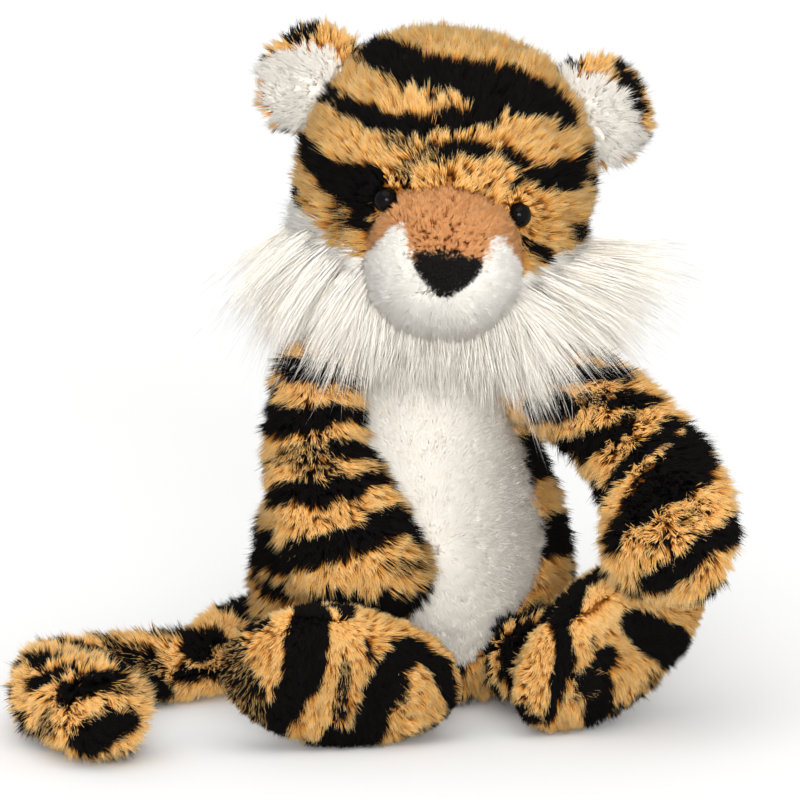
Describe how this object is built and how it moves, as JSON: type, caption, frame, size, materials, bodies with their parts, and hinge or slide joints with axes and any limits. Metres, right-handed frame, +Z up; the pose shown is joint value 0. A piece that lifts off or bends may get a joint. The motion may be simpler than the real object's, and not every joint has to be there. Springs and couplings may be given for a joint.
{
  "type": "plush tiger",
  "caption": "Seated plush tiger with striped fur, white belly and muzzle, long white ruff, turning head, swinging arms, rolling legs and a long tail",
  "frame": {"origin": "floor under the middle of the seat", "axes": "+Z up, the tiger faces -Y, its own left is +X; +X is the longest extent"},
  "size_m": [0.2479, 0.1776, 0.2396],
  "materials": {
    "tiger_fur": "dense plush pile, golden tan with black stripes",
    "white_plush": "short dense white pile",
    "long_white_fur": "long fine white hair",
    "tan_plush": "short curly tan pile",
    "nose_velour": "black velour",
    "eye_plastic": "polished black dome",
    "washer_plastic": "moulded",
    "wadding": "loose polyester wadding",
    "pellet_bag": "plain woven bag of pellets"
  },
  "bodies": {
    "torso": {"torso_skin": "tiger_fur", "belly_panel": "white_plush", "torso_stuffing": "wadding", "seat_pellet_bag": "pellet_bag"},
    "neck": {"neck_wadding": "wadding"},
    "head": {"head_skin": "tiger_fur", "head_stuffing": "wadding", "muzzle": "white_plush", "nose_bridge": "tan_plush", "nose": "nose_velour", "eye_left": "eye_plastic", "eye_right": "eye_plastic", "eye_washer_left": "washer_plastic", "eye_washer_right": "washer_plastic", "cheek_ruff_left": "long_white_fur", "cheek_ruff_right": "long_white_fur", "chin_ruff": "long_white_fur"},
    "ear_left": {"ear_skin_left": "tiger_fur", "ear_lining_left": "white_plush"},
    "ear_right": {"ear_skin_right": "tiger_fur", "ear_lining_right": "white_plush"},
    "arm_left": {"arm_skin_left": "tiger_fur", "arm_stuffing_left": "wadding"},
    "arm_right": {"arm_skin_right": "tiger_fur", "arm_stuffing_right": "wadding"},
    "leg_left": {"leg_skin_left": "tiger_fur", "sole_left": "tiger_fur", "leg_stuffing_left": "wadding"},
    "leg_right": {"leg_skin_right": "tiger_fur", "sole_right": "tiger_fur", "leg_stuffing_right": "wadding"},
    "tail": {"tail_skin": "tiger_fur", "tail_stuffing": "wadding"}
  },
  "joints": [
    {"name": "neck_nod", "type": "hinge", "parent": "torso", "child": "neck", "pos_m": [0.00291, 0.00073, 0.116], "axis": [1, 0, 0], "range_deg": [-20, 6]},
    {"name": "neck_turn", "type": "hinge", "parent": "neck", "child": "head", "pos_m": [0.00291, 0.00073, 0.116], "axis": [0, 0, 1], "range_deg": [-30, 30], "deforming": ["chin_ruff"]},
    {"name": "arm_left_raise", "type": "hinge", "parent": "torso", "child": "arm_left", "pos_m": [0.03922, -0.00187, 0.115], "axis": [0, -1, 0], "range_deg": [0, 14]},
    {"name": "arm_right_raise", "type": "hinge", "parent": "torso", "child": "arm_right", "pos_m": [-0.03375, -0.02006, 0.115], "axis": [0, 1, 0], "range_deg": [0, 50]},
    {"name": "leg_left_roll", "type": "hinge", "parent": "torso", "child": "leg_left", "pos_m": [0.03374, -0.02457, 0.02], "axis": [0.4848, -0.8746, 0], "range_deg": [-21, 0]},
    {"name": "leg_right_roll", "type": "hinge", "parent": "torso", "child": "leg_right", "pos_m": [-0.01826, -0.03753, 0.02], "axis": [-0.2147, 0.9767, 0], "range_deg": [0, 27]},
    {"name": "tail_swing", "type": "hinge", "parent": "torso", "child": "tail", "pos_m": [-0.01016, 0.04075, 0.015], "axis": [0, 0, -1], "range_deg": [0, 60]},
    {"name": "ear_left_fold", "type": "hinge", "parent": "head", "child": "ear_left", "pos_m": [0.05796, -0.00133, 0.20502], "axis": [0.4919, 0.0256, -0.8703], "range_deg": [-25, 25], "stiffness_Nm_per_rad": 0.008},
    {"name": "ear_right_fold", "type": "hinge", "parent": "head", "child": "ear_right", "pos_m": [-0.03035, -0.00521, 0.21508], "axis": [0.675, 0.0256, 0.7373], "range_deg": [-25, 25], "stiffness_Nm_per_rad": 0.008}
  ]
}
